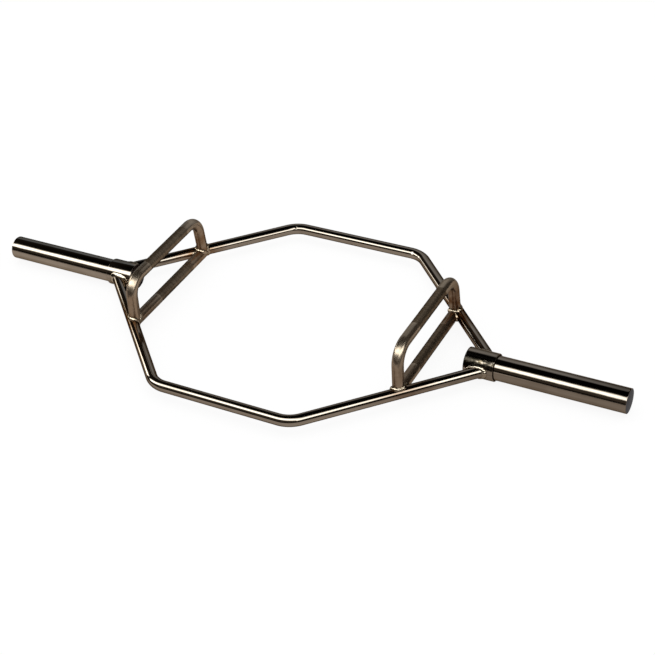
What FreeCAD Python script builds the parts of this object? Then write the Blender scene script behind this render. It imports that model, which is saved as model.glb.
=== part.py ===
import FreeCAD, Part
import Sketcher
import math
import os

from FreeCAD import Vector

# Hex trap bar: a six-sided welded frame that the lifter stands in, with a plate sleeve on each side,
# a low grip in the plane of the frame and a raised grip above it.
# X runs along the sleeves, Y to the rear, Z up. The origin is under the middle, level with the collars.

DIMENSIONS = {
    # six-sided frame, centre line of the bar
    "frame_bar_d": 24.0,
    "half_flat": 154.0,
    "half_depth": 298.0,
    "frame_bend_deg": 45.0,
    "frame_bend_r": 58.0,
    # hub collar, plate sleeve and its closures; the hub point is where the two frame bars would cross
    "collar_d": 57.0,
    "collar_len": 60.0,
    "collar_inset": 56.0,
    "sleeve_d": 50.0,
    "sleeve_bore_d": 30.0,
    "sleeve_free": 262.0,
    "seat_step": 0.4,
    "seat_relief": 1.0,
    "sleeve_slip": 0.1,
    "sleeve_setback": 4.0,
    "edge_chamfer": 1.0,
    "cap_flange": 4.0,
    "cap_spigot": 12.0,
    "plug_len": 8.0,
    "plug_fit": 0.05,
    # grips, set in from the hub point; the raised one's feet stand a little inside the frame bars
    "handle_d": 24.0,
    "handle_inset": 145.5,
    "handle_rise": 93.5,
    "handle_bend_r": 38.0,
    "foot_inset": 9.5,
    "leg_lean": 6.5,
    # welds
    "root_gap": 0.2,
    "frame_bead": 3.5,
    "handle_bead": 3.5,
    "foot_bead": 4.0,
    "sleeve_bead": 3.0,
}

doc = FreeCAD.newDocument("hex_trap_bar")
sheet = doc.addObject("Spreadsheet::Sheet", "dims")
for row, (alias, value) in enumerate(DIMENSIONS.items(), start=1):
    sheet.set("A%d" % row, alias)
    sheet.set("B%d" % row, str(value))
    sheet.setAlias("B%d" % row, alias)
doc.recompute()

# distances that follow from the dimensions
AXIS_Z = "dims.collar_d / 2"
SLOPE = "tan(dims.frame_bend_deg * 1 deg)"
HUB_X = "(dims.half_flat + dims.half_depth / %s)" % SLOPE
COLLAR_X = "(%s - dims.collar_inset)" % HUB_X
SLEEVE_X = "(%s + dims.sleeve_setback)" % COLLAR_X
SHOULDER_X = "(%s + dims.collar_len + dims.seat_relief)" % COLLAR_X
SLEEVE_END_X = "(%s + dims.collar_len + dims.sleeve_free)" % COLLAR_X
HANDLE_X = "(%s - dims.handle_inset)" % HUB_X
SEAT_Y = "(dims.handle_inset * %s)" % SLOPE
FOOT_Y = "(%s - dims.foot_inset)" % SEAT_Y
RAIL_Y = "(%s - dims.leg_lean)" % FOOT_Y
SEAT_R = "(dims.sleeve_d / 2 - dims.seat_step)"
COLLAR_BORE_R = "(%s + dims.sleeve_slip)" % SEAT_R
PLUG_R = "(dims.sleeve_bore_d / 2 - dims.plug_fit)"
FRAME_R = "dims.frame_bar_d / 2"
HANDLE_R = "dims.handle_d / 2"
COLLAR_R = "dims.collar_d / 2"

# crumbs that a neighbouring bead cuts off a weld are left out up to this share of its volume
SLIVER_SHARE = 0.01

MIRROR_X = Vector(1, 0, 0)
MIRROR_Y = Vector(0, 1, 0)
ALONG_X = FreeCAD.Rotation(Vector(0, 1, 0), 90)
ALONG_Y = FreeCAD.Rotation(Vector(1, 0, 0), -90)


def value(expression):
    """Number that an expression over the sheet comes to."""
    result = sheet.evalExpression(expression)
    return getattr(result, "Value", result)


def place(obj, x="0", y="0", z=AXIS_Z):
    for axis, expression in zip("xyz", (x, y, z)):
        obj.setExpression("Placement.Base." + axis, expression)


def rod(label, radius, length, rotation, x="0", y="0"):
    """Cylinder at the level of the sleeve axis, starting at x, y."""
    cylinder = doc.addObject("Part::Cylinder", label)
    cylinder.setExpression("Radius", radius)
    cylinder.setExpression("Height", length)
    cylinder.Placement = FreeCAD.Placement(Vector(), rotation)
    place(cylinder, x, y)
    return cylinder


def cut(label, base, *tools):
    """Base less each tool in turn; the last result carries the label."""
    for count, tool in enumerate(tools, start=1):
        last = count == len(tools)
        result = doc.addObject("Part::Cut", label if last else "%s_%d" % (label, count))
        result.Base = base
        result.Tool = tool
        base = result
    return base


def fuse(label, *shapes):
    result = doc.addObject("Part::MultiFuse", label)
    result.Shapes = list(shapes)
    return result


def common(label, *shapes):
    result = doc.addObject("Part::MultiCommon", label)
    result.Shapes = list(shapes)
    return result


def mirrored(label, source, normal):
    result = doc.addObject("Part::Mirroring", label)
    result.Source = source
    result.Normal = normal
    return result


def new_body(label, x="0"):
    body = doc.addObject("PartDesign::Body", label)
    place(body, x)
    return body


def sketch_on(body, role):
    sketch = body.newObject("Sketcher::SketchObject", body.Label + "_" + role)
    plane = [f for f in body.Origin.OriginFeatures if f.Role == role][0]
    sketch.AttachmentSupport = [(plane, "")]
    sketch.MapMode = "FlatFace"
    return sketch


def driven(sketch, name, expression, *constraint):
    """Add a dimension to the sketch and bind it to the sheet."""
    kind, geometry = constraint[0], constraint[1:]
    index = sketch.addConstraint(Sketcher.Constraint(kind, *geometry, abs(value(expression))))
    sketch.renameConstraint(index, name)
    sketch.setExpression("Constraints." + name, expression)


def circle(sketch, name, radius):
    """Circle about the sketch origin."""
    index = sketch.addGeometry(Part.Circle(Vector(), Vector(0, 0, 1), value(radius)))
    sketch.addConstraint(Sketcher.Constraint("Coincident", index, 3, -1, 1))
    driven(sketch, name, radius, "Radius", index)


def bent_path(sketch, foot, corner, height, bend_r):
    """Two runs rising from the horizontal axis to a level one, with an arc at each corner."""
    u0, u1, v1, r = (value(e) for e in (foot, corner, height, bend_r))
    run = Vector(u0 - u1, v1, 0).normalize()
    cut_back = r / math.tan(math.acos(-run.x) / 2)
    low = Vector(-u1, v1, 0) - run * cut_back
    high = Vector(-u1 + cut_back, v1, 0)
    lean = math.atan2(run.x, -run.y)

    def flip(p):
        return Vector(-p.x, p.y, p.z)

    def arc(centre, start, end):
        return Part.ArcOfCircle(Part.Circle(centre, Vector(0, 0, 1), r), start, end)

    centre = high - Vector(0, r, 0)
    first = sketch.addGeometry(Part.LineSegment(Vector(-u0, 0, 0), low))
    bend_a = sketch.addGeometry(arc(centre, math.pi / 2, lean))
    level = sketch.addGeometry(Part.LineSegment(high, flip(high)))
    bend_b = sketch.addGeometry(arc(flip(centre), math.pi - lean, math.pi / 2))
    last = sketch.addGeometry(Part.LineSegment(flip(low), Vector(u0, 0, 0)))
    knees = [sketch.addGeometry(Part.Point(p)) for p in (Vector(-u1, v1, 0), Vector(u1, v1, 0))]
    for knee in knees:
        sketch.setConstruction(knee, True)
    joined = ((first, 2, bend_a, 2), (bend_a, 1, level, 1), (level, 2, bend_b, 2), (bend_b, 1, last, 1))
    for pair in joined:
        sketch.addConstraint(Sketcher.Constraint("Tangent", *pair))
    sketch.addConstraint(Sketcher.Constraint("Horizontal", level))
    sketch.addConstraint(Sketcher.Constraint("Equal", bend_a, bend_b))
    for knee, side in zip(knees, (first, last)):
        sketch.addConstraint(Sketcher.Constraint("PointOnObject", knee, 1, side))
        sketch.addConstraint(Sketcher.Constraint("PointOnObject", knee, 1, level))
    sketch.addConstraint(Sketcher.Constraint("PointOnObject", first, 1, -1))
    sketch.addConstraint(Sketcher.Constraint("PointOnObject", last, 2, -1))
    driven(sketch, "bend", bend_r, "Radius", bend_a)
    driven(sketch, "height", height, "DistanceY", -1, 1, level, 1)
    driven(sketch, "foot_left", foot, "DistanceX", first, 1, -1, 1)
    driven(sketch, "foot_right", foot, "DistanceX", -1, 1, last, 2)
    driven(sketch, "knee_left", corner, "DistanceX", knees[0], 1, -1, 1)
    driven(sketch, "knee_right", corner, "DistanceX", -1, 1, knees[1], 1)


def bent_bar(label, role, radius, path, x="0"):
    """Round bar along a bent path drawn on one of its own planes."""
    body = new_body(label, x)
    spine = sketch_on(body, role)
    bent_path(spine, *path)
    doc.recompute()
    section = body.newObject("Sketcher::SketchObject", label + "_section")
    section.AttachmentSupport = [(spine, "Edge1")]
    section.MapMode = "NormalToEdge"
    section.MapPathParameter = 0.0
    circle(section, "radius", radius)
    pipe = body.newObject("PartDesign::AdditivePipe", label + "_pipe")
    pipe.Profile = section
    pipe.Spine = (spine, ["Edge%d" % n for n in range(1, 6)])
    return body


def frame_bar(label, radius):
    return bent_bar(label, "XY_Plane", radius, (HUB_X, "dims.half_flat", "dims.half_depth", "dims.frame_bend_r"))


def high_grip(label, radius):
    path = (FOOT_Y, RAIL_Y, "dims.handle_rise", "dims.handle_bend_r")
    return bent_bar(label, "YZ_Plane", radius, path, HANDLE_X)


def low_grip(label, radius):
    return rod(label, radius, "2 * " + SEAT_Y, ALONG_Y, HANDLE_X, "-" + SEAT_Y)


def rear_grip(label, radius):
    return rod(label, radius, SEAT_Y, ALONG_Y, HANDLE_X)


def hub(label, radius, margin="0"):
    """Outside of the collar, longer by a margin at both ends."""
    length = "dims.collar_len + 2 * " + margin
    return rod(label, radius, length, ALONG_X, "%s - %s" % (COLLAR_X, margin))


def pad(body, length, *radii, reverse=False):
    """Disc, or ring where a second radius is given, standing on the body's YZ plane."""
    sketch = sketch_on(body, "YZ_Plane")
    for name, radius in zip(("outer", "inner"), radii):
        circle(sketch, name, radius)
    feature = body.newObject("PartDesign::Pad", body.Label + "_pad")
    feature.Profile = sketch
    feature.setExpression("Length", length)
    feature.Reversed = reverse
    doc.recompute()
    return feature


def chamfer_rims(body, feature, radius, at_x):
    """Chamfer the round edges of one radius that lie at the given distances along the body."""
    names = []
    for index, edge in enumerate(feature.Shape.Edges, start=1):
        round_edge = isinstance(edge.Curve, Part.Circle) and abs(edge.Curve.Radius - value(radius)) < 1e-6
        if round_edge and any(abs(edge.Curve.Center.x - value(x)) < 1e-6 for x in at_x):
            names.append("Edge%d" % index)
    chamfer = body.newObject("PartDesign::Chamfer", body.Label + "_chamfer")
    chamfer.Base = (feature, names)
    chamfer.setExpression("Size", "dims.edge_chamfer")


def make_collar(label):
    body = new_body(label, COLLAR_X)
    ring = pad(body, "dims.collar_len", COLLAR_R, COLLAR_BORE_R)
    chamfer_rims(body, ring, COLLAR_R, ("0", "dims.collar_len"))
    return body


def make_sleeve(label):
    """Plate tube, turned down a little where it sits in the collar."""
    body = new_body(label, SHOULDER_X)
    seat = "dims.collar_len + dims.seat_relief - dims.sleeve_setback"
    pad(body, seat, SEAT_R, "dims.sleeve_bore_d / 2", reverse=True)
    pad(body, "dims.sleeve_free - dims.seat_relief", "dims.sleeve_d / 2", "dims.sleeve_bore_d / 2")
    return body


def make_cap(label):
    body = new_body(label, SLEEVE_END_X)
    pad(body, "dims.cap_spigot", PLUG_R, reverse=True)
    flange = pad(body, "dims.cap_flange", "dims.sleeve_d / 2")
    chamfer_rims(body, flange, "dims.sleeve_d / 2", ("dims.cap_flange",))
    return body


def make_plug(label):
    body = new_body(label, SLEEVE_X)
    pad(body, "dims.plug_len", PLUG_R)
    return body


def make_ring_weld(label):
    """Fillet between the end face of the sleeve and the bore of the collar."""
    outer, bead = COLLAR_BORE_R, "dims.sleeve_bead"
    ring = doc.addObject("Part::Cylinder", label + "_ring")
    cone = doc.addObject("Part::Cone", label + "_cone")
    ring.setExpression("Radius", outer)
    cone.setExpression("Radius1", outer)
    cone.setExpression("Radius2", "%s - %s" % (outer, bead))
    for solid in (ring, cone):
        solid.setExpression("Height", bead)
        solid.Placement = FreeCAD.Placement(Vector(), ALONG_X)
        place(solid, "%s - %s" % (SLEEVE_X, bead))
    return cut(label, ring, cone)


frame_solid = frame_bar("frame_solid", FRAME_R)
frame_cope = frame_bar("frame_cope", FRAME_R + " + dims.root_gap")
frame_cope_front = mirrored("frame_cope_front", frame_cope, MIRROR_Y)
hub_solid = hub("hub_solid", COLLAR_R)
hub_cope = hub("hub_cope", COLLAR_R + " + dims.root_gap", "dims.frame_bar_d")
hub_cope_left = mirrored("hub_cope_left", hub_cope, MIRROR_X)
low_solid = low_grip("low_solid", HANDLE_R)
low_cope = low_grip("low_cope", HANDLE_R + " + dims.root_gap")
high_solid = high_grip("high_solid", HANDLE_R)

rear_frame_bar = cut("rear_frame_bar", frame_solid, hub_cope, hub_cope_left)
right_low_handle = cut("right_low_handle", low_solid, frame_cope, frame_cope_front)
right_high_handle = cut("right_high_handle", high_solid, frame_cope, frame_cope_front, low_cope)

# each bead fills the corner between two bars, within its own leg length of both
frame_swell = frame_bar("frame_swell", FRAME_R + " + dims.frame_bead")
hub_swell = hub("hub_swell", COLLAR_R + " + dims.frame_bead")
frame_corner = common("frame_corner", frame_swell, hub_swell)
frame_weld = cut("right_rear_frame_weld", frame_corner, frame_solid, hub_solid)
seat_swell = frame_bar("seat_swell", FRAME_R + " + dims.handle_bead")
low_swell = rear_grip("low_swell", HANDLE_R + " + dims.handle_bead")
high_swell = high_grip("high_swell", HANDLE_R + " + dims.foot_bead")
low_corner = common("low_corner", low_swell, seat_swell)
low_weld = cut("right_rear_low_handle_weld", low_corner, low_solid, frame_solid, high_swell)
high_corner = common("high_corner", high_swell, fuse("foot_swell", seat_swell, low_swell))
high_weld = cut("right_rear_high_handle_weld", high_corner, high_solid, frame_solid, low_solid)

pieces = [rear_frame_bar, mirrored("front_frame_bar", rear_frame_bar, MIRROR_Y)]
one_side = (
    make_collar("right_collar"),
    make_sleeve("right_sleeve"),
    make_cap("right_sleeve_end_cap"),
    make_plug("right_inner_plug"),
    make_ring_weld("right_sleeve_weld"),
    right_low_handle,
    right_high_handle,
)
for piece in one_side:
    pieces += [piece, mirrored(piece.Name.replace("right", "left"), piece, MIRROR_X)]
for rear in (frame_weld, low_weld, high_weld):
    front = mirrored(rear.Name.replace("rear", "front"), rear, MIRROR_Y)
    pieces += [rear, front]
    pieces += [mirrored(bead.Name.replace("right", "left"), bead, MIRROR_X) for bead in (rear, front)]
doc.recompute()

for obj in doc.Objects:
    if "Invalid" in obj.State or "Error" in obj.State:
        raise RuntimeError("%s: %s" % (obj.Label, obj.State))
os.makedirs("parts", exist_ok=True)
for piece in pieces:
    if piece.Shape.isNull() or not piece.Shape.isValid():
        raise RuntimeError("%s: no valid shape" % piece.Label)
    *slivers, solid = sorted(piece.Shape.Solids, key=lambda part: part.Volume)
    if sum(sliver.Volume for sliver in slivers) > SLIVER_SHARE * solid.Volume:
        raise RuntimeError("%s: %d solids" % (piece.Label, 1 + len(slivers)))
    solid.exportStep("parts/%s.step" % piece.Label)
    print("%-32s %9.0f mm3" % (piece.Label, solid.Volume))
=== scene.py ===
import bpy
import math
import numpy as np
from mathutils import Matrix


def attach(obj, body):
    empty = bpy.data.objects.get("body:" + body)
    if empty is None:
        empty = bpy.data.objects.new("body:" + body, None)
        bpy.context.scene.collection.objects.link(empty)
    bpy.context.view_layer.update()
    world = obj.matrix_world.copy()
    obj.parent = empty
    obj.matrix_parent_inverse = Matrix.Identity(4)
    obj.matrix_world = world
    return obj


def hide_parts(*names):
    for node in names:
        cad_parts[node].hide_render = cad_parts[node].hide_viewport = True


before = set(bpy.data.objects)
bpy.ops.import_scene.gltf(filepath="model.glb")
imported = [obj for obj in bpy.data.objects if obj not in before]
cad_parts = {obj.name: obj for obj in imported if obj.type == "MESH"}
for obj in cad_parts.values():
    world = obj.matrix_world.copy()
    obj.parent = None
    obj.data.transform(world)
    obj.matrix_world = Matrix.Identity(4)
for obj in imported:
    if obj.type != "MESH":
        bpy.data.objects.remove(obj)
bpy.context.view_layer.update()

# Sizes of the part in metres, as in its source, but for the inner end of the collars.
AXIS_Z = 0.0285
BAR_R = 0.012
HALF_FLAT = 0.154
HALF_DEPTH = 0.298
BAR_BEND_R = 0.058
HUB_X = 0.452
COLLAR_R = 0.0285
COLLAR_X = (0.3935, 0.456)
COLLAR_BORE_R = 0.0247
SLEEVE_R = 0.025
SHOULDER_X = 0.457
SLEEVE_END_X = 0.718
CAP_END_X = 0.722
SLEEVE_FACE_X = 0.400
HANDLE_X = 0.3065
FOOT_Y = 0.136
RAIL_Y = 0.1295
RISE = 0.0935
HANDLE_BEND_R = 0.038
GAP = 0.0002

# Sides of the bars and of the turned pieces, and the knurl.
SIDES = 96
ANGLES = np.arange(SIDES) * 2 * np.pi / SIDES
TURNED_SIDES = 160
KNURL_DEPTH = 0.00020
KNURL_STEP = 0.00105
# Where the knurl of each grip starts and ends along Y.
KNURL_Y = {
    "right_high_handle": (-0.050, 0.073),
    "left_high_handle": (-0.066, 0.075),
    "right_low_handle": (-0.060, 0.076),
    "left_low_handle": (-0.050, 0.076),
}
# Distance between the rings of a mesh, and from the cope of a bar to its first full ring.
RUN_STEP = 0.012
BEND_STEP = 0.0009
LEG_STEP = 0.006
LEG_BEND_STEP = 0.0022
GRIP_STEP = 0.008
BAR_MARGIN = 0.004
GRIP_MARGIN = 0.003
# Press marks of the bending tool: dents with a raised rim.
DENT_DEPTH = 0.0005
DENT_R = 0.0016
RIM_HEIGHT = 0.00012
RIM_R = 0.0042
RIM_WIDTH = 0.0012
# Sleeve tube and end cap.
BORE_R = 0.015
SEAT_R = 0.0246
SPIGOT_R = 0.01495
SPIGOT_LEN = 0.012
CORE_R = 0.001
# Weld beads: spacing of their rows, points across, depth of the root and of the toes in the steel.
BEAD_STEP = 0.00036
BEAD_POINTS = 15
BEAD_ROOT = 0.0016
BEAD_SINK = 0.00025
FRAME_BEAD = {"leg": 0.0056}
BROAD_BEAD = {"leg": 0.0070, "crest": 0.00014, "crown": 0.05, "skew": 0.36}
HIGH_BEAD = {"leg": 0.0054, "ripple": 0.0062, "crest": 0.00060}
LOW_BEAD = {"leg": 0.0044, "ripple": 0.0055, "crest": 0.00050}
RING_BEAD = {"leg": 0.0030}
HARD_EDGE = math.radians(35)


def new_object(
    name, verts, faces, unrolled, finishes, second=(), faceted=False, hard_edges=True,
):
    """Mesh object with a point attribute that holds the place on the bar as if it were straight.

    The second faces take the second finish, and are flat where the piece is faceted.
    """
    verts = np.asarray(verts, float)
    tri = np.array([(f[0], f[k], f[k + 1]) for f in faces for k in range(1, len(f) - 1)])
    a, b, c = (verts[tri[:, k]] for k in range(3))
    if np.einsum("ij,ij->i", a, np.cross(b, c)).sum() < 0:
        faces = [tuple(reversed(f)) for f in faces]
    mesh = bpy.data.meshes.new(name)
    mesh.from_pydata(verts.tolist(), [], faces)
    for finish in finishes:
        mesh.materials.append(finish)
    attribute = mesh.attributes.new("unrolled", "FLOAT_VECTOR", "POINT")
    attribute.data.foreach_set("vector", np.asarray(unrolled, float).ravel())
    marked = np.zeros(len(faces), bool)
    marked[list(second)] = True
    mesh.polygons.foreach_set("material_index", marked.astype(np.int32))
    mesh.polygons.foreach_set("use_smooth", ~(marked & faceted))
    mesh.update()
    if hard_edges:
        mesh.set_sharp_from_angle(angle=HARD_EDGE)
    obj = bpy.data.objects.new(name, mesh)
    bpy.context.scene.collection.objects.link(obj)
    return obj


def stand_for(obj, slot, *nodes):
    """Puts an object in the place of CAD nodes."""
    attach(obj, "root")
    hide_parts(*nodes)


def skin(rings, knurl_rows=(0, 0)):
    """Faces over a stack of rings with a fan at each end, and which of them are knurl facets."""
    count, sides = rings.shape[:2]
    faces, facets = [], []
    for i in range(count - 1):
        for j in range(sides):
            k = (j + 1) % sides
            quad = (i * sides + j, i * sides + k, (i + 1) * sides + k, (i + 1) * sides + j)
            if knurl_rows[0] <= i < knurl_rows[1]:
                facets += [len(faces), len(faces) + 1]
                shift = (i + j) % 2
                q = quad[shift:] + quad[:shift]
                faces += [(q[0], q[1], q[2]), (q[0], q[2], q[3])]
            else:
                faces.append(quad)
    low, high = count * sides, count * sides + 1
    for j in range(sides):
        k = (j + 1) % sides
        faces.append((low, k, j))
        faces.append((high, (count - 1) * sides + j, (count - 1) * sides + k))
    return faces, facets


def closed(rings):
    """All points of a stack of rings and the middle of both ends."""
    return np.vstack([rings.reshape(-1, 3), rings[0].mean(0), rings[-1].mean(0)])


def bent_line(foot, corner, height, bend_r):
    """A symmetric line that rises from a foot to a level run and comes down again.

    Gives half its length, where its first bend starts and ends, the direction of its first leg and a
    function for its points.
    """
    rise = np.array([foot - corner, height])
    run = np.linalg.norm(rise)
    up = rise / run
    turn = math.acos(up[0])
    trim = bend_r * math.tan(turn / 2)
    s1, s2 = run - trim, run - trim + bend_r * turn
    half = s2 + corner - trim

    def at(s):
        """Point and direction at a distance from the left foot."""
        t = min(s, 2 * half - s)
        if t <= s1:
            p, d = np.array([-foot, 0]) + up * t, up
        elif t <= s2:
            a = turn - (t - s1) / bend_r
            centre = np.array([-corner + trim, height - bend_r])
            p = centre + bend_r * np.array([-math.sin(a), math.cos(a)])
            d = np.array([math.cos(a), math.sin(a)])
        else:
            p, d = np.array([-half + t, height]), np.array([1.0, 0.0])
        return (p, d) if s <= half else (p * (-1, 1), d * (1, -1))

    return half, (s1, s2), up, at


def plane_ring(at, s, radius):
    """Ring of points in the coordinates of the line's own plane (u, v) and across it (w)."""
    p, d = at(s)
    n = np.array([-d[1], d[0]])
    c, w = np.cos(ANGLES) * radius, np.sin(ANGLES) * radius
    return np.stack([p[0] + c * n[0], p[1] + c * n[1], w], -1)


def roll_out(s, radius):
    """Ring of a bar as if it were straight."""
    along = np.broadcast_to(s, ANGLES.shape)
    return np.stack([along, np.cos(ANGLES) * radius, np.sin(ANGLES) * radius], -1)


def spaced(start, end, step):
    """Even places from start to end, about a step apart."""
    return np.linspace(start, end, max(2, int(round((end - start) / step)) + 1))


def bar_to_collar(up):
    """Distance from the hub point to the collar along each line of a frame bar."""
    c, w = np.cos(ANGLES) * BAR_R, np.sin(ANGLES) * BAR_R
    return (np.sqrt((COLLAR_R + GAP) ** 2 - w ** 2) - c * up[0]) / up[1]


def leg_to_seat(up):
    """Distance from the foot point to the seat along each line of a leg, and where that is the frame bar.

    The rest of the seat is the low grip.
    """
    c, w = np.cos(ANGLES) * BAR_R, np.sin(ANGLES) * BAR_R
    r = BAR_R + GAP
    low = (np.sqrt(r ** 2 - w ** 2) - c * up[0]) / up[1]
    a = (w + HANDLE_X + FOOT_Y + c * up[1] - HUB_X) / math.sqrt(2)
    b = -up[0] / math.sqrt(2)
    p, q = c * up[0], up[1]
    k2, k1, k0 = b * b + q * q, a * b + p * q, a * a + p * p - r * r
    disc = k1 * k1 - k2 * k0
    bar = np.where(disc > 0, (-k1 + np.sqrt(np.maximum(disc, 0))) / k2, -1.0)
    return np.maximum(low, bar), bar > low


def frame_bar(name, side, finish):
    """Bent frame bar, coped to the collars, with the press marks of the bending tool inside its bends."""
    half, (s1, s2), up, at = bent_line(HUB_X, HALF_FLAT, HALF_DEPTH, BAR_BEND_R)
    start = bar_to_collar(up)
    first = start.max() + BAR_MARGIN
    inner = np.concatenate([
        spaced(first, s1, RUN_STEP), spaced(s1, s2, BEND_STEP)[1:], spaced(s2, half, RUN_STEP)[1:],
    ])
    stations = np.concatenate([inner, 2 * half - inner[-2::-1]])
    # where each dent is along the bar, and its angle around it
    dents = (((s1 + s2) / 2 - 0.001, 2.30), (2 * half - s2 + 0.009, 2.46))
    rings, flat = [], []
    for s in stations:
        radius = np.full(SIDES, BAR_R)
        for mark, lean in dents:
            off = np.angle(np.exp(1j * (ANGLES - lean))) * BAR_R
            radius -= DENT_DEPTH * np.exp(-((s - mark) ** 2 + off ** 2) / (2 * DENT_R ** 2))
            from_dent = np.sqrt((s - mark) ** 2 + off ** 2)
            radius += RIM_HEIGHT * np.exp(-((from_dent - RIM_R) / RIM_WIDTH) ** 2)
        rings.append(plane_ring(at, s, radius))
        flat.append(roll_out(s, BAR_R))
    slide = np.stack([start * up[0], start * up[1], np.zeros(SIDES)], -1)
    end = plane_ring(at, 0.0, BAR_R) + slide
    rings = np.array([end] + rings + [end * (-1, 1, 1)])
    flat = np.array([roll_out(start, BAR_R)] + flat + [roll_out(2 * half - start, BAR_R)])
    faces, _ = skin(rings)
    verts = closed(rings) * (1, side, 1) + (0, 0, AXIS_Z)
    obj = new_object(name + "_bent", verts, faces, closed(flat), [finish])
    stand_for(obj, "polished_plating", name)


def knurl_radii(before, knurl, after):
    """Radius of each ring of a grip, and its rows of facets; the knurl is a chequer of peaks and pits."""
    first = 1 + before
    around = np.arange(SIDES)
    pits = [BAR_R - KNURL_DEPTH * ((first + row + around) % 2 == 0) for row in range(knurl)]
    return [BAR_R] * before + pits + [BAR_R] * after, (before, first + knurl)


def high_handle(name, side, finishes):
    """Raised grip with two legs coped to their seat and a knurled run in the middle."""
    half, (s1, s2), up, at = bent_line(FOOT_Y, RAIL_Y, RISE, HANDLE_BEND_R)
    start, _ = leg_to_seat(up)
    first = start.max() + GRIP_MARGIN
    k0, k1 = (half + y for y in KNURL_Y[name])
    before = np.concatenate([
        spaced(first, s1, LEG_STEP), spaced(s1, s2, LEG_BEND_STEP)[1:], spaced(s2, k0, GRIP_STEP)[1:],
    ])
    knurl = spaced(k0, k1, KNURL_STEP)[1:-1]
    after = np.concatenate([
        spaced(k1, 2 * half - s2, GRIP_STEP), spaced(2 * half - s2, 2 * half - s1, LEG_BEND_STEP)[1:],
        spaced(2 * half - s1, 2 * half - first, LEG_STEP)[1:],
    ])
    stations = np.concatenate([before, knurl, after])
    radii, rows = knurl_radii(len(before), len(knurl), len(after))
    rings = [plane_ring(at, s, r) for s, r in zip(stations, radii)]
    flat = [roll_out(s, BAR_R) for s in stations]
    slide = np.stack([start * up[0], start * up[1], np.zeros(SIDES)], -1)
    end = plane_ring(at, 0.0, BAR_R) + slide
    rings = np.array([end] + rings + [end * (-1, 1, 1)])
    flat = np.array([roll_out(start, BAR_R)] + flat + [roll_out(2 * half - start, BAR_R)])
    faces, facets = skin(rings, rows)
    points = closed(rings)
    verts = np.stack([side * (HANDLE_X + points[:, 2]), points[:, 0], AXIS_Z + points[:, 1]], -1)
    obj = new_object(name + "_grip", verts, faces, closed(flat), finishes, facets, faceted=True)
    stand_for(obj, "satin_plating", name)


def low_handle(name, side, finishes):
    """Straight grip in the plane of the frame, coped to both bars and knurled in the middle."""
    x, z = np.cos(ANGLES) * BAR_R, np.sin(ANGLES) * BAR_R
    end = HUB_X - HANDLE_X - x - math.sqrt(2) * np.sqrt((BAR_R + GAP) ** 2 - z ** 2)
    last = end.min() - GRIP_MARGIN
    k0, k1 = KNURL_Y[name]
    before, after = spaced(-last, k0, GRIP_STEP), spaced(k1, last, GRIP_STEP)
    knurl = spaced(k0, k1, KNURL_STEP)[1:-1]
    radii, rows = knurl_radii(len(before), len(knurl), len(after))
    stations = list(np.concatenate([before, knurl, after]))
    rings = np.array([
        np.stack([np.cos(ANGLES) * r, np.broadcast_to(y, ANGLES.shape), np.sin(ANGLES) * r], -1)
        for y, r in zip([-end] + stations + [end], [BAR_R] + radii + [BAR_R])
    ])
    flat = rings[:, :, [1, 0, 2]]
    faces, facets = skin(rings, rows)
    points = closed(rings)
    verts = np.stack([side * (HANDLE_X + points[:, 0]), points[:, 1], AXIS_Z + points[:, 2]], -1)
    obj = new_object(name + "_grip", verts, faces, closed(flat), finishes, facets, faceted=True)
    stand_for(obj, "satin_plating", name)


def loop_faces(count, sides):
    """Faces of rings that close on themselves both ways."""
    faces = []
    for i in range(count):
        n = (i + 1) % count
        for j in range(sides):
            k = (j + 1) % sides
            faces.append((i * sides + j, i * sides + k, n * sides + k, n * sides + j))
    return faces


def turned(name, side, profile, finishes, solid=False):
    """Turned piece on the sleeve axis from a profile of (x, radius).

    A second finish goes on its outer end face.
    """
    x, r = np.array(profile, float).T
    angles = np.arange(TURNED_SIDES) * 2 * np.pi / TURNED_SIDES
    along = np.repeat(x[:, None], TURNED_SIDES, 1)
    rings = np.stack([along, np.outer(r, np.cos(angles)), np.outer(r, np.sin(angles))], -1)
    verts = closed(rings) if solid else rings.reshape(-1, 3)
    faces = skin(rings)[0] if solid else loop_faces(len(x), TURNED_SIDES)
    end = x.max() - 1e-6
    second = ()
    if len(finishes) > 1:
        second = [i for i, face in enumerate(faces) if verts[list(face), 0].min() > end]
    placed = verts * (side, 1, 1) + (0, 0, AXIS_Z)
    obj = new_object(name + "_turned", placed, faces, verts, finishes, second)
    stand_for(obj, "polished_plating", name)


def rounded(points, radii, steps=5):
    """Closed profile with an arc of the given radius at each corner."""
    out = []
    count = len(points)
    for i, (p, r) in enumerate(zip(points, radii)):
        p = np.array(p, float)
        a = np.array(points[i - 1], float) - p
        b = np.array(points[(i + 1) % count], float) - p
        a, b = a / np.linalg.norm(a), b / np.linalg.norm(b)
        if r == 0:
            out.append(p)
            continue
        half = math.acos(np.clip(a @ b, -1, 1)) / 2
        cut = r / math.tan(half)
        centre = p + (a + b) / np.linalg.norm(a + b) * r / math.sin(half)
        s, e = p + a * cut - centre, p + b * cut - centre
        a0, a1 = math.atan2(s[1], s[0]), math.atan2(e[1], e[0])
        sweep = (a1 - a0 + np.pi) % (2 * np.pi) - np.pi
        for t in np.linspace(0, 1, steps):
            a = a0 + sweep * t
            out.append(centre + r * np.array([math.cos(a), math.sin(a)]))
    return out


def smooth_loop(values, passes):
    """Rows of a closed loop, each averaged with its neighbours."""
    for _ in range(passes):
        values = (np.roll(values, 1, 0) + 2 * values + np.roll(values, -1, 0)) / 4
    return values


def unit(v):
    return v / np.linalg.norm(v, axis=-1, keepdims=True)


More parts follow.
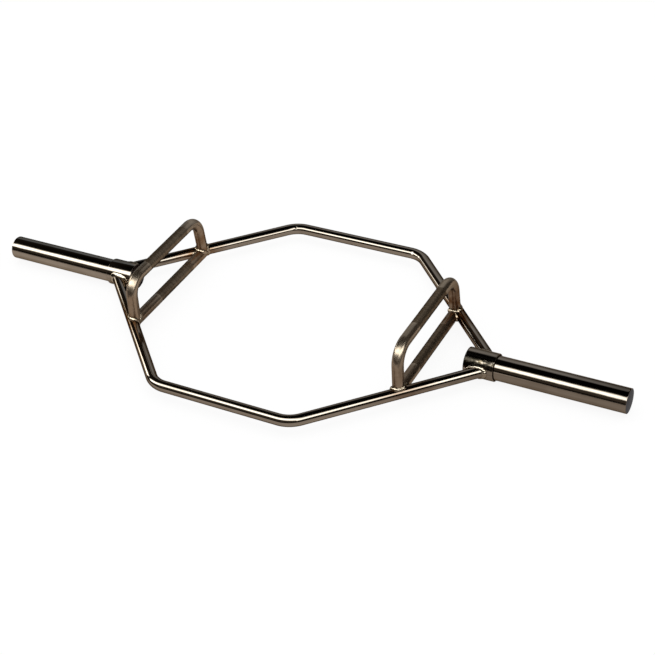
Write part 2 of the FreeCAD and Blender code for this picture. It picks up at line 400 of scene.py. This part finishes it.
def bead(
    name, seam, normal_a, normal_b, sag_a, sag_b, mirror, finish, seed, leg,
    ripple=0.0042, crest=0.00040, crown=0.13, skew=0.0,
):
    """Weld bead along a closed seam: a rippled fillet in the corner between two surfaces.

    A skewed bead reaches less far along the first surface and further along the second.
    """
    rng = np.random.default_rng(seed)
    opening = np.pi - np.arccos(np.clip((normal_a * normal_b).sum(-1), -1, 1))
    loose = np.column_stack([
        smooth_loop(seam, 6), unit(normal_a + normal_b), normal_b, opening, sag_a, sag_b,
    ])
    loose[:, 3:] = smooth_loop(loose[:, 3:], 6)
    step = np.linalg.norm(np.roll(loose[:, :3], -1, 0) - loose[:, :3], axis=1)
    s = np.concatenate([[0], np.cumsum(step)])
    total = s[-1]
    count = int(total / BEAD_STEP)
    even = np.arange(count) * total / count
    looped = np.vstack([loose, loose[:1]])
    even_rows = np.stack([np.interp(even, s, column) for column in looped.T], -1)
    seam, out, normal_b = even_rows[:, :3], even_rows[:, 3:6], even_rows[:, 6:9]
    opening, sag_a, sag_b = even_rows[:, 9:].T
    along = unit(np.roll(seam, -1, 0) - np.roll(seam, 1, 0))
    out = unit(out - (out * along).sum(-1, keepdims=True) * along)
    across = np.cross(along, out) * np.sign((normal_b * np.cross(along, out)).sum())

    def drift(*waves):
        return sum(a * np.sin(2 * np.pi * (k * even / total + rng.random())) for k, a in waves)

    turns = max(5, round(total / ripple))
    beat = turns * even / total + drift((2, 0.3), (3, 0.3), (5, 0.25), (7, 0.2))
    swell = 1 + drift((2, 0.05), (3, 0.06), (5, 0.06), (9, 0.05))
    reach = leg * swell * (1 - 0.35 * np.clip(opening - np.pi / 2, 0, np.pi / 2) / (np.pi / 2))
    bulge = reach * crown * (1 + np.sin(opening / 2) ** 2)
    place = np.linspace(-1, 1, BEAD_POINTS)
    wave = np.abs(np.sin(np.pi * (beat[:, None] - 0.45 * (1 - place ** 2)))) ** 0.7 - 0.65
    toe = reach[:, None] * (1 + 0.10 * wave * np.abs(place))
    up = np.outer(reach * np.cos(opening / 2), 1 - skew * place) + bulge[:, None] * (1 - place ** 2)
    heights = rng.normal(1.0, 0.25, turns + 8)
    height = heights[np.floor(beat).astype(int) % len(heights)]
    up += crest * wave * (1 - place ** 4) * height[:, None]
    curve = np.where(place < 0, sag_b[:, None], sag_a[:, None])
    sag = curve * (toe * (1 - skew * place)) ** 2 + BEAD_SINK
    up -= sag * np.abs(place) ** 6
    wide = toe * np.sin(opening / 2)[:, None] * (place - skew)
    face = seam[:, None] + up[..., None] * out[:, None] + wide[..., None] * across[:, None]
    root = (seam - BEAD_ROOT * out)[:, None]
    verts = (np.concatenate([face, root], 1) * mirror + (0, 0, AXIS_Z)).reshape(-1, 3)
    faces = loop_faces(count, BEAD_POINTS + 1)
    obj = new_object(name + "_bead", verts, faces, verts, [finish], hard_edges=False)
    stand_for(obj, "weld_bead", name)


def sag_of(normal, other, axis, radius):
    """How fast a round surface falls away from its tangent, in the direction square to the seam."""
    away = unit(other - (other * normal).sum(-1, keepdims=True) * normal + 1e-9)
    return (away * np.cross(axis, normal)).sum(-1) ** 2 / (2 * radius)


def frame_seam():
    """Seam of the rear bar on the right collar, with the normals of both."""
    _, _, up, at = bent_line(HUB_X, HALF_FLAT, HALF_DEPTH, BAR_BEND_R)
    start = bar_to_collar(up)
    ring = plane_ring(at, 0.0, BAR_R) + np.stack([start * up[0], start * up[1], 0 * start], -1)
    n = np.array([-up[1], up[0]])
    bar = np.stack([np.cos(ANGLES) * n[0], np.cos(ANGLES) * n[1], np.sin(ANGLES)], -1)
    collar = unit(ring * (0, 1, 1))
    sag_a, sag_b = sag_of(bar, collar, (*up, 0), BAR_R), sag_of(collar, bar, (1, 0, 0), COLLAR_R)
    return ring * (-1, 1, 1), bar * (-1, 1, 1), collar * (-1, 1, 1), sag_a, sag_b


def high_seam():
    """Seam of the rear leg on the right, with the normals of the leg and of what it stands on."""
    _, _, up, at = bent_line(FOOT_Y, RAIL_Y, RISE, HANDLE_BEND_R)
    start, on_bar = leg_to_seat(up)
    ring = plane_ring(at, 0.0, BAR_R) + np.stack([start * up[0], start * up[1], 0 * start], -1)
    n = np.array([-up[1], up[0]])
    leg = np.stack([np.cos(ANGLES) * n[0], np.cos(ANGLES) * n[1], np.sin(ANGLES)], -1)
    seam = np.stack([HANDLE_X + ring[:, 2], -ring[:, 0], ring[:, 1]], -1)
    leg = np.stack([leg[:, 2], -leg[:, 0], leg[:, 1]], -1)
    off = (seam[:, 0] + seam[:, 1] - HUB_X) / 2
    bar = unit(np.stack([off, off, seam[:, 2]], -1))
    grip = unit(np.stack([seam[:, 0] - HANDLE_X, 0 * off, seam[:, 2]], -1))
    seat = np.where(on_bar[:, None], bar, grip)
    line = np.where(on_bar[:, None], (math.sqrt(0.5), -math.sqrt(0.5), 0), (0, 1, 0))
    sag_a = sag_of(leg, seat, (0, -up[0], up[1]), BAR_R)
    return seam, leg, seat, sag_a, sag_of(seat, leg, line, BAR_R)


def low_seam():
    """Seam of the rear end of the right low grip on the rear bar, with the normals of both."""
    x, z = np.cos(ANGLES) * BAR_R, np.sin(ANGLES) * BAR_R
    end = HUB_X - HANDLE_X - x - math.sqrt(2) * np.sqrt((BAR_R + GAP) ** 2 - z ** 2)
    seam = np.stack([HANDLE_X + x, end, z], -1)
    grip = np.stack([np.cos(ANGLES), 0 * x, np.sin(ANGLES)], -1)
    off = (seam[:, 0] + seam[:, 1] - HUB_X) / 2
    bar = unit(np.stack([off, off, z], -1))
    line = (math.sqrt(0.5), -math.sqrt(0.5), 0)
    return seam, grip, bar, sag_of(grip, bar, (0, 1, 0), BAR_R), sag_of(bar, grip, line, BAR_R)


def ring_seam():
    """Seam between the end face of the right sleeve and the bore of its collar."""
    y, z = np.cos(ANGLES) * COLLAR_BORE_R, np.sin(ANGLES) * COLLAR_BORE_R
    seam = np.stack([0 * ANGLES + SLEEVE_FACE_X, y, z], -1)
    face = np.broadcast_to((-1.0, 0.0, 0.0), seam.shape)
    return seam, face, -unit(seam * (0, 1, 1)), 0 * ANGLES, 0 * ANGLES


# Light and dark tone of each plating.
NICKEL = ((0.225, 0.178, 0.137), (0.165, 0.127, 0.095))
SATIN = ((0.290, 0.216, 0.152), (0.205, 0.150, 0.104))
# The grip tones are darker than the satin, partly as painted shade in the pits of the knurl.
GRIP = ((0.192, 0.138, 0.093), (0.139, 0.099, 0.065))
BEAD = ((0.300, 0.242, 0.182), (0.190, 0.142, 0.096))
CAP_LIGHT = (0.098, 0.095, 0.095)
CAP_DARK = (0.058, 0.056, 0.056)
CAP_RIM_GLINT = (0.150, 0.138, 0.122)
# Heat tint on the left and on the right, and where it starts and ends around a foot.
TINT = ((0.110, 0.047, 0.014), (0.072, 0.030, 0.011))
GOLD = ((0.20, 0.11, 0.045), (0.20, 0.11, 0.045))
HEAT_NEAR = 0.028
HEAT_FAR = 0.080
# Weld drops beside a weld, with painted shade over them that dims the collar's highlight; painted shade
# in the collar mouths; darker bands in the knurl.
SCORCH = (0.075, 0.052, 0.026)
HIGHLIGHT_SHADE = (0.010, 0.0078, 0.0052)
MOUTH_SHADE = (0.014, 0.010, 0.010)
KNURL_BAND_TONE = (0.045, 0.030, 0.019)
# How far the painted shade of a mouth reaches along the axis, and inside which radius.
HUB_MOUTH = (COLLAR_X[0] + 0.0012, 0.0262)
TUBE_MOUTH = (0.42, 0.0)
# Colour of the reflection near grazing angles.
EDGE = (0.18, 0.18, 0.18, 1)
TUBE_EDGE = (0.38, 0.36, 0.34, 1)
SATIN_EDGE = (0.42, 0.40, 0.38, 1)
KNURL_EDGE = (0.06, 0.06, 0.06, 1)
CAP_EDGE = (0.5, 0.5, 0.52, 1)
# Light of the studio.
WHITE = (1.0, 1.0, 1.0, 1)
COOL = (0.82, 0.93, 1.0, 1)
PALE_BLUE = (0.80, 0.90, 1.0, 1)
BLUE = (0.62, 0.79, 1.0, 1)
PALE_WARM = (1.0, 0.97, 0.94, 1)
WARM = (1.0, 0.90, 0.78, 1)
# Studio: reach of the floor and of the cloths on it, their height and darkest level, and the room.
FLOOR_REACH = 20
CLOTH_REACH = 5
FLAG_Z = 0.003
FLAG_DARK = 0.08
ROOM_R = 5
ROOM_SIDES = 48
ROOM_ROWS = 13


class Nodes:
    """Node tree of one material, with short calls for the nodes used here."""

    def __init__(self, name):
        self.material = bpy.data.materials.new(name)
        self.material.use_nodes = True
        self.tree = self.material.node_tree
        self.tree.nodes.clear()

    def add(self, kind, inputs=None, **settings):
        node = self.tree.nodes.new("ShaderNode" + kind)
        for key, value in settings.items():
            setattr(node, key, value)
        for key, value in (inputs or {}).items():
            if isinstance(value, bpy.types.NodeSocket):
                self.tree.links.new(value, node.inputs[key])
            else:
                node.inputs[key].default_value = value
        return node

    def noise(self, vector, scale, detail=3.0, roughness=0.55):
        place = self.add("Mapping", {"Vector": vector, "Scale": scale}).outputs[0]
        node = self.add("TexNoise", {
            "Vector": place, "Scale": 1.0, "Detail": detail, "Roughness": roughness,
        })
        return node.outputs["Fac"]

    def unrolled(self):
        return self.add("Attribute", attribute_name="unrolled").outputs["Vector"]

    def parts(self, vector):
        return self.add("SeparateXYZ", {0: vector}).outputs

    def bump(self, height, distance, **normal):
        return self.add("Bump", {
            "Height": height, "Distance": distance, "Strength": 1.0, **normal,
        }).outputs[0]

    def span(self, value, low, high, to_low, to_high, smooth=False):
        node = self.add("MapRange", {0: value, 1: low, 2: high, 3: to_low, 4: to_high})
        node.interpolation_type = "SMOOTHSTEP" if smooth else "LINEAR"
        return node.outputs[0]

    def math(self, operation, a, b=0.0):
        return self.add("Math", {0: a, 1: b}, operation=operation).outputs[0]

    def blend(self, factor, a, b):
        node = self.add("Mix", data_type="RGBA")
        for index, value in ((0, factor), (6, a), (7, b)):
            socket = node.inputs[index]
            if isinstance(value, bpy.types.NodeSocket):
                self.tree.links.new(value, socket)
            else:
                socket.default_value = (*value, 1) if isinstance(value, tuple) else value
        return node.outputs[2]

    def finish(self, shader):
        out = self.add("OutputMaterial")
        self.tree.links.new(shader, out.inputs["Surface"])
        return self.material


def heat(nodes):
    """Share of heat tint: beside the feet of the grips, stronger at the rear."""
    place = nodes.add("TexCoord").outputs["Object"]
    folded = nodes.add("VectorMath", {0: place}, operation="ABSOLUTE").outputs[0]
    foot = (HANDLE_X + 0.002, FOOT_Y - 0.010, AXIS_Z + 0.022)
    gap = nodes.add("VectorMath", {0: folded, 1: foot}, operation="DISTANCE").outputs["Value"]
    near_weld = nodes.span(gap, HEAT_NEAR, HEAT_FAR, 1.0, 0.0, smooth=True)
    parts = nodes.parts(place)
    rear = nodes.span(parts[1], -0.02, 0.06, 0.55, nodes.span(parts[0], -0.1, 0.1, 0.82, 1.0))
    patchy = nodes.span(nodes.noise(place, (55, 55, 55), 3), 0.32, 0.62, 0.45, 1.0)
    return nodes.math("MULTIPLY", nodes.math("MULTIPLY", near_weld, rear), patchy)


def mouth_shade(nodes, depth, bore):
    """Share of painted shade in a collar's mouth: up to a depth along the axis, and inside a bore radius.
    """
    place = nodes.unrolled()
    ragged = nodes.math("MULTIPLY", nodes.noise(place, (300, 300, 300), 3), 0.0016)
    along = nodes.math("ADD", nodes.parts(place)[0], ragged)
    end = nodes.span(along, depth, depth + 0.002, 0.97, 0.0)
    middle = nodes.add("VectorMath", {0: place, 1: (0.0, 1.0, 1.0)}, operation="MULTIPLY").outputs[0]
    radius = nodes.add("VectorMath", {0: middle}, operation="LENGTH").outputs["Value"]
    return nodes.math("MAXIMUM", end, nodes.span(radius, bore, bore + 0.001, 0.97, 0.0))


def spatter_and_shade(nodes):
    """Share of weld drops and of painted shade on the hub: the strip above its front weld, where the
    highlight falls.
    """
    place = nodes.parts(nodes.unrolled())
    low = nodes.span(place[2], 0.006, 0.013, 0.0, 1.0, smooth=True)
    high = nodes.span(place[2], 0.0243, 0.0262, 1.0, 0.0, smooth=True)
    front = nodes.span(place[1], -0.012, -0.007, 1.0, 0.0, smooth=True)
    return nodes.math("MULTIPLY", nodes.math("MULTIPLY", low, high), front)


def plating(
    name, light, dark, rough, streak=260, bump=0.00002, lumps=0.0, mouth=None, waves=0.0, bands=0.0,
    tint=TINT, tinted=0.95, edge=EDGE, metal=1.0,
):
    """Plated steel: drawn streaks along the bar, cloudy tone, fine scratches and heat tint by the welds.

    On demand it has darker bands, a wavy surface, raised weld drops with painted shade over them that
    dims the highlight, and painted shade in the mouth.
    """
    nodes = Nodes(name)
    place = nodes.unrolled()
    lines = nodes.noise(place, (5, streak, streak), 4)
    cloud = nodes.noise(place, (22, 22, 22), 3)
    tone = nodes.math("ADD", nodes.math("MULTIPLY", lines, 0.6), nodes.math("MULTIPLY", cloud, 0.4))
    colour = nodes.blend(nodes.span(tone, 0.36, 0.64, 0.0, 1.0), dark, light)
    across = nodes.parts(nodes.add("TexCoord").outputs["Object"])[0]
    local_tint = nodes.blend(nodes.span(across, -0.1, 0.1, 0.0, 1.0), *tint)
    colour = nodes.blend(nodes.math("MULTIPLY", heat(nodes), tinted), colour, local_tint)
    scratch = nodes.span(nodes.noise(place, (30, 1400, 1400), 2), 0.66, 0.72, 0.0, 0.06)
    roughness = nodes.math("ADD", nodes.span(lines, 0.3, 0.7, rough[0], rough[1]), scratch)
    grain = nodes.math("ADD", lines, nodes.math("MULTIPLY", nodes.noise(place, (60, 60, 60), 2), 0.5))
    relief = nodes.bump(grain, bump)
    if bands:
        rows = nodes.noise(place, (430, 40, 40), 2)
        colour = nodes.blend(nodes.span(rows, 0.38, 0.62, bands, 0.0), colour, KNURL_BAND_TONE)
    if waves:
        swell = nodes.noise(place, (24, 55, 55), 2)
        relief = nodes.bump(swell, waves, Normal=relief)
    if lumps:
        share = spatter_and_shade(nodes)
        drops = nodes.noise(place, (170, 240, 240), 4, 0.6)
        # Painted shade: dark patches, denser towards the mouth end, that dim the highlight on this strip;
        # the brown drops are weld metal.
        shade_patches = nodes.noise(place, (75, 190, 190), 4, 0.6)
        left = nodes.span(nodes.parts(place)[0], 0.396, 0.440, 0.20, 0.0)
        relief = nodes.bump(nodes.math("MULTIPLY", drops, share), lumps, Normal=relief)
        brown = nodes.span(drops, 0.40, 0.56, 0.1, 0.9)
        colour = nodes.blend(nodes.math("MULTIPLY", share, brown), colour, SCORCH)
        black = nodes.span(nodes.math("ADD", shade_patches, left), 0.44, 0.56, 0.0, 0.96)
        colour = nodes.blend(nodes.math("MULTIPLY", share, black), colour, HIGHLIGHT_SHADE)
    if mouth:
        # Painted shade: the mouth of a collar darkened where it lies in shade.
        share = mouth_shade(nodes, *mouth)
        colour = nodes.blend(share, colour, MOUTH_SHADE)
        roughness = nodes.math("ADD", roughness, nodes.math("MULTIPLY", share, 0.4))
    shader = nodes.add("BsdfPrincipled", {
        "Base Color": colour, "Metallic": metal, "Roughness": roughness, "Normal": relief,
        "Specular Tint": edge,
    })
    return nodes.finish(shader.outputs[0])


def cap_finish(name):
    """Faced end: dull dark plating with the rings of the turning tool, and a painted highlight round its
    rim.
    """
    nodes = Nodes(name)
    place = nodes.unrolled()
    _, y, z = nodes.parts(place)
    square = nodes.math("ADD", nodes.math("POWER", y, 2.0), nodes.math("POWER", z, 2.0))
    radius = nodes.math("SQRT", square)
    rings = nodes.noise(nodes.add("CombineXYZ", {0: radius, 1: 0.0, 2: 0.0}).outputs[0], (1800, 1, 1), 2)
    cloud = nodes.noise(place, (90, 90, 90), 4)
    colour = nodes.blend(nodes.span(cloud, 0.35, 0.65, 0.0, 1.0), CAP_DARK, CAP_LIGHT)
    # Painted highlight: a lighter, patchy ring at the rim of the end face.
    rim = nodes.span(radius, 0.0236, 0.0248, 0.0, 1.0)
    rim_glint = nodes.math("MULTIPLY", rim, nodes.span(cloud, 0.35, 0.6, 0.2, 0.9))
    colour = nodes.blend(rim_glint, colour, CAP_RIM_GLINT)
    shader = nodes.add("BsdfPrincipled", {
        "Base Color": colour, "Metallic": 1.0, "Roughness": nodes.span(cloud, 0.3, 0.7, 0.28, 0.42),
        "Normal": nodes.bump(rings, 0.00003), "Specular Tint": CAP_EDGE,
    })
    return nodes.finish(shader.outputs[0])


def sheet(name, corners, faces, material):
    """Piece of the studio."""
    mesh = bpy.data.meshes.new(name)
    mesh.from_pydata(corners, [], faces)
    mesh.materials.append(material)
    obj = bpy.data.objects.new(name, mesh)
    bpy.context.scene.collection.objects.link(obj)
    return obj


def only_reflected(obj):
    """Leaves a piece of the studio to be seen in the metal alone."""
    obj.visible_camera = obj.visible_shadow = False
    obj.visible_diffuse = obj.visible_transmission = False


def card(name, lower, upper, strength, soft=0.2, colour=COOL, levels=None):
    """Card between two rails of points.

    Its glow fades at the lower and upper edge, and follows the levels along the rails.
    """
    nodes = Nodes(name)
    across = nodes.add("Attribute", attribute_name="across").outputs["Fac"]
    rise = nodes.span(across, 0.0, soft, 0.0, strength, smooth=True)
    fall = nodes.span(across, 1.0 - soft, 1.0, 1.0, 0.0, smooth=True)
    level = nodes.add("Attribute", attribute_name="level").outputs["Fac"]
    strength = nodes.math("MULTIPLY", nodes.math("MULTIPLY", rise, fall), level)
    glow = nodes.add("Emission", {"Color": colour, "Strength": strength})
    count = len(lower)
    strips = [(k, k + 1, count + k + 1, count + k) for k in range(count - 1)]
    obj = sheet(name, list(lower) + list(upper), strips, nodes.finish(glow.outputs[0]))
    edges, along = [0.0] * count + [1.0] * count, 2 * list(levels or [1.0] * count)
    for key, values in (("across", edges), ("level", along)):
        attribute = obj.data.attributes.new(key, "FLOAT", "POINT")
        attribute.data.foreach_set("value", values)
    only_reflected(obj)


def flag(name, x0, x1, y0, y1, edge, fade, near, colour=WHITE):
    """Cloth on the floor: dark towards the front, and of the near level behind its edge along X."""
    nodes = Nodes(name)
    depth = nodes.parts(nodes.add("NewGeometry").outputs["Position"])[1]
    glow = nodes.span(depth, edge - fade, edge, FLAG_DARK, near, smooth=True)
    dark = nodes.add("Emission", {"Color": colour, "Strength": glow})
    corners = [(x, y, FLAG_Z) for x, y in ((x0, y0), (x1, y0), (x1, y1), (x0, y1))]
    only_reflected(sheet(name, corners, [(0, 1, 2, 3)], nodes.finish(dark.outputs[0])))


polished = plating("polished_plating", *NICKEL, (0.05, 0.10))
tubing = plating("tube_plating", *NICKEL, (0.05, 0.10), mouth=TUBE_MOUTH, waves=0.00022, edge=TUBE_EDGE)
hub = plating("hub_plating", *NICKEL, (0.06, 0.12), mouth=HUB_MOUTH, edge=TUBE_EDGE)
# The right collar: raised weld drops, with painted shade that dims its highlight above the front weld.
spattered_shaded = plating(
    "spattered_plating", *NICKEL, (0.08, 0.16), lumps=0.0004, mouth=HUB_MOUTH, edge=TUBE_EDGE,
)
satin = plating("satin_plating", *SATIN, (0.25, 0.30), bump=0.000004, edge=SATIN_EDGE, metal=0.95)
knurl = plating(
    "knurled_plating", *GRIP, (0.30, 0.38), streak=120, bands=0.4, edge=KNURL_EDGE, metal=0.91,
)
weld = plating("weld_bead", *BEAD, (0.06, 0.14), streak=300, bump=0.00004, tint=GOLD, tinted=0.5)
ring_weld = plating("ring_weld_bead", *BEAD, (0.08, 0.18), streak=300, bump=0.00005, mouth=TUBE_MOUTH)
faced = cap_finish("faced_plating")

for name, side in (("rear_frame_bar", 1), ("front_frame_bar", -1)):
    frame_bar(name, side, polished)
for prefix, side in (("right", 1), ("left", -1)):
    high_handle(prefix + "_high_handle", side, [satin, knurl])
    low_handle(prefix + "_low_handle", side, [satin, knurl])
    x0, x1 = COLLAR_X
    ring = rounded(
        [(x0, COLLAR_BORE_R), (x0, COLLAR_R), (x1, COLLAR_R), (x1, COLLAR_BORE_R)],
        (0.0006, 0.0012, 0.0012, 0.0002),
    )
    turned(prefix + "_collar", side, ring, [spattered_shaded if side > 0 else hub])
    tube = rounded([
        (SLEEVE_FACE_X, BORE_R), (SLEEVE_FACE_X, SEAT_R), (SHOULDER_X, SEAT_R), (SHOULDER_X, SLEEVE_R),
        (SLEEVE_END_X, SLEEVE_R), (SLEEVE_END_X, BORE_R),
    ], (0, 0, 0, 0.0002, 0, 0))
    turned(prefix + "_sleeve", side, tube, [tubing])
    inner = SLEEVE_END_X - SPIGOT_LEN
    cap = rounded([
        (inner, CORE_R), (inner, SPIGOT_R), (SLEEVE_END_X, SPIGOT_R),
        (SLEEVE_END_X, SLEEVE_R), (CAP_END_X, SLEEVE_R), (CAP_END_X, CORE_R),
    ], (0, 0.0005, 0, 0, 0.0009, 0))
    turned(prefix + "_sleeve_end_cap", side, cap, [tubing, faced], solid=True)
    for end, depth in (("rear", 1), ("front", -1)):
        stem, mirror = "%s_%s_" % (prefix, end), (side, depth, 1)
        seed = 10 * (side + 1) + (depth + 1)
        # the left front weld is broader and flatter than the rest, and stands higher on the collar
        shape = BROAD_BEAD if side + depth < -1 else FRAME_BEAD
        bead(stem + "frame_weld", *frame_seam(), mirror, weld, seed, **shape)
        bead(stem + "high_handle_weld", *high_seam(), mirror, weld, seed + 3, **HIGH_BEAD)
        bead(stem + "low_handle_weld", *low_seam(), mirror, weld, seed + 5, **LOW_BEAD)
    bead(prefix + "_sleeve_weld", *ring_seam(), (side, 1, 1), ring_weld, 40 + side, **RING_BEAD)
    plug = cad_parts[prefix + "_inner_plug"]
    for slot in plug.material_slots:
        slot.material = tubing

# Studio: white floor and world. The cards, cloths and room around the object are seen only in the metal.
nodes = Nodes("floor_white")
path = nodes.add("LightPath").outputs
seen = nodes.math("MAXIMUM", path["Is Camera Ray"], path["Is Glossy Ray"])
seen = nodes.math("MAXIMUM", seen, path["Is Transmission Ray"])
paper = nodes.add("BsdfDiffuse", {"Color": (0.9, 0.9, 0.9, 1)})
white = nodes.add("Emission", {"Strength": 1.0})
mixed = nodes.add("MixShader", {
    0: nodes.math("MULTIPLY", seen, 0.9), 1: paper.outputs[0], 2: white.outputs[0],
})
corners = [(x * FLOOR_REACH, y * FLOOR_REACH, 0) for x, y in ((-1, -1), (1, -1), (1, 1), (-1, 1))]
sheet("floor", corners, [(0, 1, 2, 3)], nodes.finish(mixed.outputs[0]))

# Panels: the bright lines on the front of the bars.
card(
    "front_panel", [(-3.4, -1.45, 1.0), (1.15, -1.45, 1.0)], [(-3.4, -0.43, 1.41), (1.15, -0.43, 1.41)],
    9.0, 0.36, levels=(1.4, 0.85),
)
card(
    "right_panel", [(0.768, -1.057, 0.559), (1.638, -0.227, 0.513)],
    [(0.53, -0.81, 1.12), (1.38, 0.035, 1.12)], 8.0,
)
card(
    "left_panel", [(-1.52, -0.18, 0.16), (-1.82, 0.13, 0.16)],
    [(-1.52, -0.18, 0.86), (-1.82, 0.13, 0.86)], 12.0,
)
card(
    "far_panel", [(-1.91, 0.21, 0.12), (-2.26, 0.57, 0.12)],
    [(-1.91, 0.21, 0.52), (-2.26, 0.57, 0.52)], 8.0,
)
# Backdrops: the grey bands along the top of the bars.
card(
    "backdrop", [(-0.84, 0.69, -0.4), (-0.6, 0.69, -0.4), (0.20, 0.70, -0.4), (0.55, 0.70, -0.4)],
    [(-0.84, 0.82, 1.05), (-0.6, 0.84, 1.15), (0.20, 0.90, 1.70), (0.55, 0.90, 1.80)],
    0.97, 0.5, PALE_BLUE, (1, 1, 0.95, 0.4),
)
card(
    "side_backdrop", [(-1.9, 0.68, -0.3), (-0.84, 0.69, -0.3)], [(-1.9, 0.78, 0.80), (-0.84, 0.82, 0.90)],
    0.72, 0.18, BLUE,
)
card(
    "rear_panel", [(-2.1, 2.5, 1.1), (0.3, 2.5, 1.1)], [(-2.1, 2.5, 3.0), (0.3, 2.5, 3.0)],
    1.1, 0.25, WHITE,
)
# Cloths: the edge between the dark line and the lower band of the bars.
flag("front_flag", -CLOTH_REACH, CLOTH_REACH, -CLOTH_REACH, -0.55, -0.55, 0.25, 1.0)
flag("right_flag", 0.40, CLOTH_REACH, -0.55, 0.3, -0.25, 0.22, 0.72, PALE_WARM)
flag("left_flag", -CLOTH_REACH, -0.47, -0.55, 0.03, -0.18, 0.20, 1.15)
flag("rear_flag", -CLOTH_REACH, -0.47, 0.03, CLOTH_REACH, CLOTH_REACH, 2, 0.35)
# Painted shade: a dim cloth under the left grips, seen only in the metal, where the floor lies in the
# shade of the object.
flag("grip_shade_cloth", -0.33, -0.18, -0.125, 0.05, -0.125, 0.01, 0.45)

# Room: a dim dome, lighter in front, and dark at the horizon and overhead.
nodes = Nodes("studio_room")
place = nodes.add("NewGeometry").outputs["Position"]
way = nodes.add("VectorMath", {0: place}, operation="NORMALIZE").outputs[0]
parts = nodes.parts(way)
front = nodes.span(parts[1], -0.45, -0.75, 0.04, 0.13, smooth=True)
fade = nodes.span(parts[2], 0.55, 0.92, 1.0, 0.05, smooth=True)
skirt = nodes.span(parts[2], 0.12, 0.27, 0.12, 1.0, smooth=True)
glow = nodes.math("MULTIPLY", nodes.math("MULTIPLY", front, fade), skirt)
dim = nodes.add("Emission", {"Color": WARM, "Strength": glow})
points = [
    (ROOM_R * math.cos(e) * math.cos(a), ROOM_R * math.cos(e) * math.sin(a), ROOM_R * math.sin(e))
    for e in np.linspace(0, math.pi / 2 * 0.98, ROOM_ROWS)
    for a in np.arange(ROOM_SIDES) * 2 * math.pi / ROOM_SIDES
]
walls = []
for i in range(ROOM_ROWS - 1):
    row, above = ROOM_SIDES * i, ROOM_SIDES * (i + 1)
    for j in range(ROOM_SIDES):
        k = (j + 1) % ROOM_SIDES
        walls.append((row + j, row + k, above + k, above + j))
top = tuple(range(ROOM_SIDES * (ROOM_ROWS - 1), ROOM_SIDES * ROOM_ROWS))
only_reflected(sheet("studio_room", points, walls + [top], nodes.finish(dim.outputs[0])))

world = bpy.data.worlds.new("studio")
bpy.context.scene.world = world
world.use_nodes = True
world.node_tree.nodes["Background"].inputs["Color"].default_value = (1, 1, 1, 1)
world.node_tree.nodes["Background"].inputs["Strength"].default_value = 1.0

# Soft lamp overhead for the shadow on the floor.
lamp_data = bpy.data.lights.new("overhead_lamp", "AREA")
lamp_data.shape = "DISK"
lamp_data.size = 4.0
lamp_data.energy = 50.0
lamp = bpy.data.objects.new("overhead_lamp", lamp_data)
lamp.location = (0, 0, 4)
lamp.visible_glossy = False
bpy.context.scene.collection.objects.link(lamp)

# Camera at the photograph's viewpoint, for a square image.
camera_data = bpy.data.cameras.new("camera")
camera_data.sensor_width = 36.0
camera_data.lens = 79.123
camera = bpy.data.objects.new("camera", camera_data)
camera.matrix_world = Matrix((
    (0.881682, -0.223232, 0.415698, 1.31282),
    (0.464395, 0.566483, -0.680760, -2.02027),
    (-0.083518, 0.793262, 0.603125, 1.81162),
    (0.0, 0.0, 0.0, 1.0),
))
bpy.context.scene.collection.objects.link(camera)
bpy.context.scene.camera = camera
bpy.context.scene.view_settings.view_transform = "Standard"
